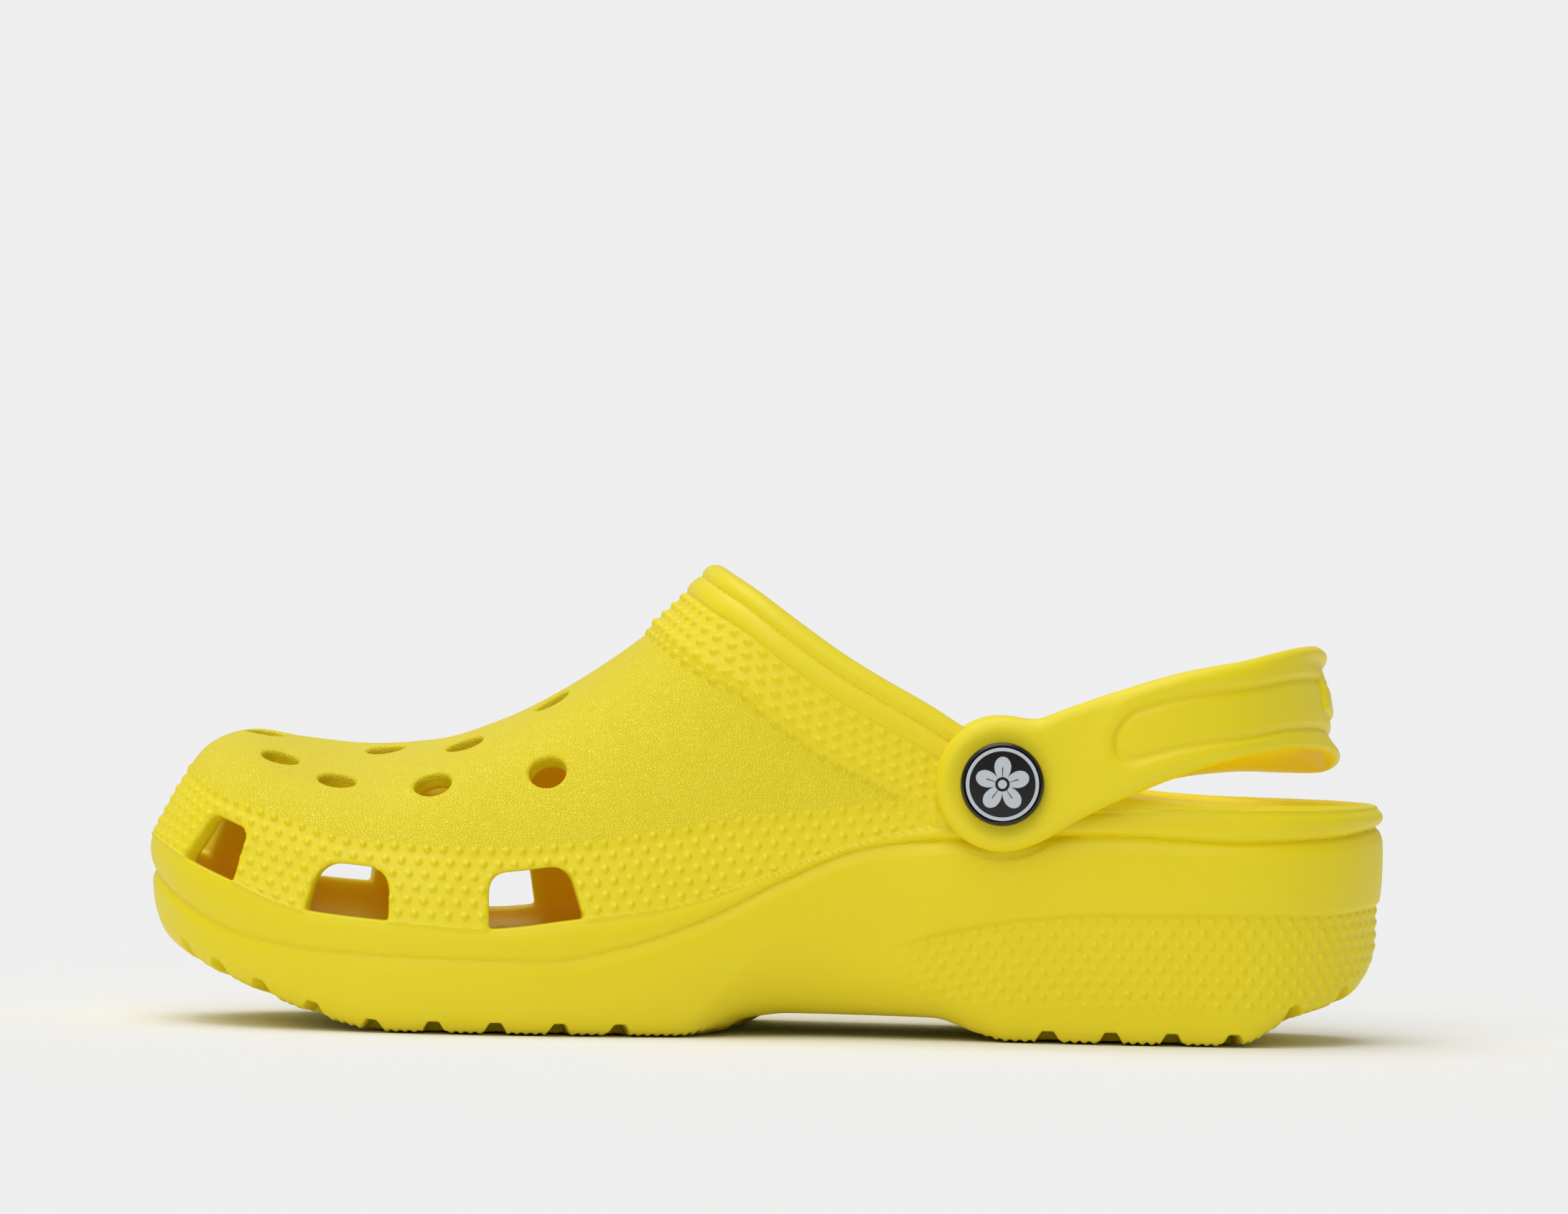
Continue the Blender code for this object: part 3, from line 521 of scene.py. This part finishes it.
# ---------------------------------------------------------------- meshes
def mesh_of_field(name, field, low, high, voxel):
    """A smooth mesh of the field's zero surface, worked out slab by slab and then drawn onto it exactly."""
    counts = [int(math.ceil((b - a) / voxel)) + 1 for a, b in zip(low, high)]
    xs, ys, zs = (a + voxel * np.arange(n) for a, n in zip(low, counts))
    grid = openvdb.FloatGrid(background=BAND * voxel)
    for start in range(0, counts[0], SLAB):
        slab = xs[start:start + SLAB]
        values = field(slab[:, None, None], ys[None, :, None], zs[None, None, :])
        values = np.ascontiguousarray(np.clip(values, -BAND * voxel, BAND * voxel), np.float32)
        grid.copyFromArray(values, ijk=(start, 0, 0))
    points, quads = grid.convertToQuads(isovalue=0.0)
    points = points.astype(float) * voxel + np.array(low)
    points, normals = onto_surface(field, points, 0.45 * voxel)
    made = mesh_object(name, points * MM, quads)
    made.data.normals_split_custom_set_from_vertices(normals)
    return made


def slopes_at(field, points):
    """The field's values at points, and its gradient there."""
    here = field(*points.T[:, :, None, None]).ravel()
    gradient = np.empty_like(points)
    for axis in range(3):
        step = np.zeros(3)
        step[axis] = NUDGE
        ahead, behind = (field(*(points + sign * step).T[:, :, None, None]).ravel() for sign in (1, -1))
        gradient[:, axis] = (ahead - behind) / (2 * NUDGE)
    return here, gradient


def onto_surface(field, points, longest):
    """Moves points onto the zero surface, and gives its normals there."""
    here, gradient = slopes_at(field, points)
    steep = np.maximum((gradient**2).sum(1), 0.1)
    step = np.clip(here / np.sqrt(steep), -longest, longest) / np.sqrt(steep)
    points = points - step[:, None] * gradient
    gradient = slopes_at(field, points)[1]
    return points, gradient / np.maximum(np.linalg.norm(gradient, axis=1), 1e-6)[:, None]


def mesh_object(name, points, faces):
    """A smooth-shaded object from arrays of points and of faces with one number of corners."""
    mesh = bpy.data.meshes.new(name)
    corners = faces.shape[1]
    mesh.vertices.add(len(points))
    mesh.vertices.foreach_set("co", np.ascontiguousarray(points, np.float32).ravel())
    mesh.loops.add(faces.size)
    mesh.loops.foreach_set("vertex_index", np.ascontiguousarray(faces, np.int32).ravel())
    mesh.polygons.add(len(faces))
    mesh.polygons.foreach_set("loop_start", np.arange(0, faces.size, corners, dtype=np.int32))
    mesh.update(calc_edges=True)
    mesh.validate()
    mesh.shade_smooth()
    obj = bpy.data.objects.new(name, mesh)
    bpy.context.scene.collection.objects.link(obj)
    return obj


def turned(name, profile, steps, place):
    """A closed solid: a profile of (radius, height) turned about its own Z, then put in place."""
    rings = np.array(profile, float)
    turn = np.arange(steps) * (2 * math.pi / steps)
    ring = np.stack([np.cos(turn), np.sin(turn)], 1)
    points = np.concatenate([np.column_stack([ring * r, np.full(steps, h)]) for r, h in rings]) * MM
    i = np.arange(steps)
    j = (i + 1) % steps
    walls = [np.stack([a * steps + i, b * steps + i, b * steps + j, a * steps + j], 1)
             for a, b in zip(range(len(rings) - 1), range(1, len(rings)))]
    obj = mesh_object(name, points, np.concatenate(walls))
    close_ends(obj.data)
    obj.data.transform(place)
    return obj


def close_ends(mesh):
    """Closes the two open rings of a turned shape and turns all its faces outwards."""
    made = bmesh.new()
    made.from_mesh(mesh)
    bmesh.ops.remove_doubles(made, verts=made.verts, dist=1e-7)
    bmesh.ops.holes_fill(made, edges=[e for e in made.edges if e.is_boundary])
    bmesh.ops.recalc_face_normals(made, faces=made.faces)
    made.to_mesh(mesh)
    made.free()
    mesh.shade_smooth()


def rounded(profile, radius, steps=5):
    """A profile of (radius, height) corners with each inner corner cut to a short arc."""
    p = np.array(profile, float)
    line = [p[0]]
    for before, here, after in zip(p, p[1:], p[2:]):
        arms = [(q - here) / max(np.linalg.norm(q - here), 1e-9) for q in (before, after)]
        reach = [min(radius, 0.45 * np.linalg.norm(q - here)) for q in (before, after)]
        a, b = here + arms[0] * reach[0], here + arms[1] * reach[1]
        for t in np.linspace(0, 1, steps):
            line.append((1 - t) ** 2 * a + 2 * t * (1 - t) * here + t * t * b)
    return line + [p[-1]]


# ---------------------------------------------------------------- materials
class Nodes:
    """A short way to write a material's node tree."""

    def __init__(self, name):
        self.material = bpy.data.materials.new(name)
        self.material.use_nodes = True
        self.tree = self.material.node_tree
        self.shader = self.tree.nodes["Principled BSDF"]

    def add(self, kind, **inputs):
        node = self.tree.nodes.new("ShaderNode" + kind)
        for key, value in inputs.items():
            if hasattr(node, key) and not isinstance(value, bpy.types.NodeSocket):
                setattr(node, key, value)
            else:
                self.set(node.inputs[key.replace("_", " ")], value)
        return node

    def set(self, socket, value):
        if isinstance(value, bpy.types.NodeSocket):
            self.tree.links.new(value, socket)
        else:
            socket.default_value = value

    def math(self, operation, a, b=0.0):
        node = self.add("Math", operation=operation)
        self.set(node.inputs[0], a)
        self.set(node.inputs[1], b)
        return node.outputs[0]

    def mix(self, factor, a, b):
        node = self.add("Mix", data_type="RGBA")
        self.set(node.inputs["Factor"], factor)
        self.set(node.inputs["A"], a)
        self.set(node.inputs["B"], b)
        return node.outputs["Result"]

    def position(self):
        return self.add("TexCoord").outputs["Object"]


GRAIN_HEIGHT, GRAIN_SCALE, FINE_SCALE = 0.0002, 1500.0, 2600.0  # the first in metres, the others per metre
YELLOW = (0.93, 0.77, 0.003, 1)
DEEP_YELLOW = (0.91, 0.735, 0.002, 1)
# painted glow: the warm orange that light takes through and between the foam walls, painted into the base
# colour of the clog's hollows and the strap's inner face
PAINTED_GLOW_ORANGE = (0.98, 0.70, 0.008, 1)


def foam_material(name, grain_height, grain_inside_vamp):
    """Moulded closed-cell foam: slight colour drift, a fine mould texture, a leather grain on the vamp, and a
    painted orange glow with extra subsurface where the inside mask is set.
    """
    n = Nodes(name)
    where = n.position()
    drift = n.add("TexNoise", Vector=where, Scale=18.0, Detail=3.0)
    colour = n.mix(n.math("MULTIPLY", drift.outputs["Fac"], 0.35), YELLOW, DEEP_YELLOW)
    # where the inside mask is set, the painted orange glow replaces the yellow and the subsurface weight
    # rises
    inside = n.add("Attribute", attribute_name="inside").outputs["Fac"]
    colour = n.mix(inside, colour, PAINTED_GLOW_ORANGE)
    n.set(n.shader.inputs["Base Color"], colour)
    fine = n.add("TexNoise", Vector=where, Scale=FINE_SCALE, Detail=2.0)
    rough = n.math("ADD", n.math("MULTIPLY", fine.outputs["Fac"], 0.10), 0.42)
    n.set(n.shader.inputs["Roughness"], rough)
    n.set(n.shader.inputs["Subsurface Weight"], n.math("MULTIPLY", inside, 0.9))
    n.shader.inputs["Subsurface Radius"].default_value = (1.0, 0.72, 0.1)
    n.shader.inputs["Subsurface Scale"].default_value = 0.007
    n.shader.inputs["Specular IOR Level"].default_value = 0.5
    pebble = n.add("TexVoronoi", Vector=where, Scale=GRAIN_SCALE, feature="DISTANCE_TO_EDGE")
    cell = n.math("MINIMUM", pebble.outputs["Distance"], 0.22)
    height = n.math("MULTIPLY", fine.outputs["Fac"], 0.12)
    if grain_inside_vamp:
        zone = n.add("Attribute", attribute_name="grain").outputs["Fac"]
        height = n.math("ADD", height, n.math("MULTIPLY", n.math("MULTIPLY", cell, 4.5), zone))
    bump = n.add("Bump", Strength=grain_height, Distance=GRAIN_HEIGHT, Height=height)
    n.set(n.shader.inputs["Normal"], bump.outputs["Normal"])
    return n.material


def black_plastic():
    """Glossy moulded plastic with faint handling marks."""
    n = Nodes("black_plastic")
    where = n.position()
    marks = n.add("TexNoise", Vector=where, Scale=900.0, Detail=4.0)
    n.set(n.shader.inputs["Roughness"], n.math("ADD", n.math("MULTIPLY", marks.outputs["Fac"], 0.12), 0.10))
    tint = n.mix(marks.outputs["Fac"], (0.004, 0.003, 0.003, 1), (0.008, 0.007, 0.007, 1))
    n.set(n.shader.inputs["Base Color"], tint)
    bump = n.add("Bump", Strength=0.12, Distance=0.00005, Height=marks.outputs["Fac"])
    n.set(n.shader.inputs["Normal"], bump.outputs["Normal"])
    return n.material


def printed_disc():
    """Black disc printed with a pale ring and a plain five-petalled flower."""
    n = Nodes("printed_disc")
    split = n.add("SeparateXYZ", Vector=n.position())
    x = n.math("SUBTRACT", split.outputs["X"], PIVOT_X * MM)
    down, up = math.sin(AXIS_TILT), math.cos(AXIS_TILT)
    lifted = n.math("MULTIPLY", n.math("SUBTRACT", split.outputs["Z"], PIVOT_Z * MM), up)
    z = n.math("ADD", lifted, n.math("MULTIPLY", split.outputs["Y"], down))
    squares = n.math("ADD", n.math("MULTIPLY", x, x), n.math("MULTIPLY", z, z))
    radius = n.math("MULTIPLY", n.math("SQRT", squares), 1 / MM)
    angle = n.math("ARCTAN2", x, z)
    ring = n.math("MULTIPLY", n.math("GREATER_THAN", radius, 7.08), n.math("LESS_THAN", radius, 7.82))
    petal = n.math("ABSOLUTE", n.math("COSINE", n.math("MULTIPLY", angle, 2.5)))
    reach = n.math("ADD", n.math("MULTIPLY", n.math("POWER", petal, 0.6), 4.5), 1.4)
    flower = n.math("LESS_THAN", radius, reach)
    eye = n.math("GREATER_THAN", radius, 1.55)
    vein = n.math("GREATER_THAN", n.math("ABSOLUTE", n.math("SINE", n.math("MULTIPLY", angle, 2.5))), 0.09)
    vein = n.math("MAXIMUM", vein, n.math("GREATER_THAN", radius, 3.6))
    motif = n.math("MULTIPLY", n.math("MULTIPLY", flower, eye), vein)
    centre = n.math("LESS_THAN", radius, 0.95)
    print_on = n.math("MAXIMUM", n.math("MAXIMUM", ring, motif), centre)
    ink = n.mix(print_on, (0.003, 0.003, 0.003, 1), (0.58, 0.63, 0.68, 1))
    n.set(n.shader.inputs["Base Color"], ink)
    n.set(n.shader.inputs["Roughness"], n.math("ADD", n.math("MULTIPLY", print_on, 0.15), 0.28))
    return n.material


def floor_material():
    n = Nodes("pale_floor")
    noise = n.add("TexNoise", Vector=n.position(), Scale=60.0, Detail=4.0)
    pale = n.mix(noise.outputs["Fac"], (0.915, 0.915, 0.915, 1), (0.925, 0.925, 0.925, 1))
    n.set(n.shader.inputs["Base Color"], pale)
    n.shader.inputs["Roughness"].default_value = 0.9
    n.shader.inputs["Specular IOR Level"].default_value = 0.1
    return n.material


# ---------------------------------------------------------------- pieces
def mark_grain_and_painted_glow(obj):
    """Marks where the vamp's leather grain is: between the lower dotted band and the collar, outside only;
    and where the painted orange glow goes on the faces inside the clog.
    """
    x, y, z = points_of(obj)
    height, slope_x, slope_y = vamp_slopes(x, y)
    over_vamp = (z - height) / np.sqrt(1 + slope_x**2 + slope_y**2)
    depth = clog_plan.at(x, y)[1]
    outer = larger(side_inset(x, y, z) - depth, over_vamp, shoulder(x))
    edge, under = vamp_edge(x) + raised(x, y), rim_distance(x, y, z)
    zone = ramp(outer, -2.5, -1.5) * ramp(z, edge, edge + 1) * ramp(under, COLLAR_WIDTH, COLLAR_WIDTH + 1)
    mark(obj, "grain", zone)
    # painted glow on the clog's inner faces and the deeper walls of its vents and holes: full under the
    # covered front, a quarter at the open heel
    shaded = 1 - 0.75 * ramp(x, -20, 30)
    mark(obj, "inside", shaded * ramp(-outer, 1.8, 4.0) * ramp(z, footbed(x) - 2, footbed(x)))


def mark(obj, name, values):
    obj.data.attributes.new(name, "FLOAT", "POINT").data.foreach_set("value", values.astype(np.float32))


def points_of(obj):
    """The x, y and z of a mesh's points, in mm."""
    points = np.empty(len(obj.data.vertices) * 3, np.float32)
    obj.data.vertices.foreach_get("co", points)
    return points.reshape(-1, 3).T / MM


def make_clog():
    clog = mesh_of_field("clog_foam", clog_field, (-136, -54, -3), (136, 54, 105), VOXEL)
    mark_grain_and_painted_glow(clog)
    finish(clog, "clog", "clog_body", foam_material("clog_foam", 0.6, True))


def make_strap():
    strap = mesh_of_field("strap_foam", strap_field, (33, -50, 36), (128, 50, 92), STRAP_VOXEL)
    x, y, _ = points_of(strap)
    # painted orange glow, at under half strength, on the strap's inner face towards the clog
    mark(strap, "inside", 0.45 * ramp(-strap_plan.at(x, y)[1], 0.5, 1.6))
    strap.data.transform(leaned)
    finish(strap, "strap", "heel_strap", foam_material("strap_foam", 0.35, False))


def level_of(node):
    """The place along the strap's axis of a node's middle."""
    low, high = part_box(node)
    middle_of = (low + high) / 2 / MM
    return middle_of.y * math.cos(AXIS_TILT) - (middle_of.z - PIVOT_Z) * math.sin(AXIS_TILT)


def facing_out(level, side):
    """A matrix that puts a turned shape on the strap's axis, its height pointing out to that side."""
    turn = Matrix.Rotation(-side * math.pi / 2, 4, "X")
    return leaned @ Matrix.Translation(Vector((PIVOT_X, level, PIVOT_Z)) * MM) @ turn


def make_rivet(prefix, side, ring_y, plastic, disc_paint):
    body, seat = prefix + "_rivet", ring_y + side * (RING_THICK + SEAT_GAP)
    socket = level_of(prefix + "_rivet_socket") + side * SOCKET_H / 2
    post = abs(seat - socket) + SOCKET_H - 0.3
    lip = EMBLEM_R + 0.2
    cap = rounded([(0, 1.9), (lip, 1.9), (lip, 2.6), (EMBLEM_R + 0.45, 2.72), (8.8, 2.3), (9.0, 1.3),
                   (8.95, 0.35), (8.6, 0.0), (3.4, 0.0), (3.4, 0.5 - post), (2.9, -post),
                   (0, -post)], 0.3)
    piece = turned(prefix + "_cap_moulded", cap, 192, facing_out(seat, side))
    finish(piece, body, prefix + "_rivet_cap", plastic)
    disc = rounded([(0, 2.6), (EMBLEM_R, 2.6), (EMBLEM_R, 2.0), (0, 2.0)], 0.06)
    piece = turned(prefix + "_emblem_disc", disc, 192, facing_out(seat, side))
    finish(piece, body, prefix + "_rivet_emblem", disc_paint)
    ring = [(3.5, 0), (6.6, 0), (7.0, -0.5), (6.5, -1.7), (4.8, -2.35), (3.5, -2.4), (3.5, 0)]
    piece = turned(prefix + "_socket_ring", rounded(ring, 0.3), 128, facing_out(socket, side))
    finish(piece, body, prefix + "_rivet_socket", plastic)


def finish(piece, body, node, paint):
    piece.data.materials.append(paint)
    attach(piece, body)
    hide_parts(node)


# ---------------------------------------------------------------- stage
def pale_floor():
    half = 30.0
    corners = np.array([(-half, -half, 0), (half, -half, 0), (half, half, 0), (-half, half, 0)])
    floor = mesh_object("pale_floor", corners, np.array([(0, 1, 2, 3)]))
    floor.data.materials.append(floor_material())


def soft_sun(name, towards, strength, spread):
    """A very wide sun, so that the floor is lit evenly and shadows are as soft as a studio's."""
    lamp = bpy.data.lights.new(name, "SUN")
    lamp.energy = strength
    lamp.angle = math.radians(spread)
    obj = bpy.data.objects.new(name, lamp)
    obj.rotation_euler = Vector(towards).to_track_quat("-Z", "Y").to_euler()
    bpy.context.scene.collection.objects.link(obj)


def light_scene():
    world = bpy.data.worlds.new("studio")
    world.use_nodes = True
    tree = world.node_tree
    background = tree.nodes["Background"]
    split = tree.nodes.new("ShaderNodeSeparateXYZ")
    tree.links.new(tree.nodes.new("ShaderNodeTexCoord").outputs["Generated"], split.inputs[0])
    dome = tree.nodes.new("ShaderNodeMapRange")
    tree.links.new(split.outputs["Y"], dome.inputs["Value"])
    dome.inputs["From Min"].default_value = -1.0
    dome.inputs["From Max"].default_value = 1.0
    dome.inputs["To Min"].default_value = 0.15
    dome.inputs["To Max"].default_value = 0.5
    tree.links.new(dome.outputs["Result"], background.inputs["Strength"])
    background.inputs["Color"].default_value = (1, 1, 1, 1)
    bpy.context.scene.world = world
    soft_sun("top_light", (0.20, -0.10, -1.0), 1.15, 50)
    soft_sun("front_light", (0.30, 0.90, -1.0), 1.15, 54)
    bpy.context.scene.view_settings.view_transform = "Standard"


def aim_camera():
    """A long lens, a little above the floor, level with the sole, and rolled as the photograph is."""
    distance, rise, roll = 6.0, math.radians(2.3), math.radians(1.217)
    target = Vector((0.00257, 0, 0.0911))
    view_width = 0.3372
    lens = bpy.data.cameras.new("camera")
    lens.sensor_width = 36
    lens.lens = 36 * distance / view_width
    lens.clip_end = 100
    camera = bpy.data.objects.new("camera", lens)
    away = Vector((0, -math.cos(rise), math.sin(rise)))
    turn = (-away).to_track_quat("-Z", "Y").to_matrix().to_4x4() @ Matrix.Rotation(roll, 4, "Z")
    camera.matrix_world = Matrix.Translation(target + away * distance) @ turn
    bpy.context.scene.collection.objects.link(camera)
    bpy.context.scene.camera = camera


clog_plan = FloorPlan((-138, -56), (138, 56), 0.5, outline_values, OUTLINE_LOOP)
strap_plan = FloorPlan((32, -52), (130, 52), 0.5, strap_values, None)
notch_places = [along_at(x, side) for x in FRONT_NOTCHES + REAR_NOTCHES for side in (-1, 1)]
notch_places.append(along_at(OUTER_LAST_NOTCH, 1))
socket_low = level_of("medial_rivet_socket") - SOCKET_H / 2
socket_high = level_of("lateral_rivet_socket") + SOCKET_H / 2
aim_camera()
pale_floor()
light_scene()
make_clog()
make_strap()
plastic = black_plastic()
disc_paint = printed_disc()
make_rivet("medial", -1, INNER_RING_Y, plastic, disc_paint)
make_rivet("lateral", 1, OUTER_RING_Y, plastic, disc_paint)
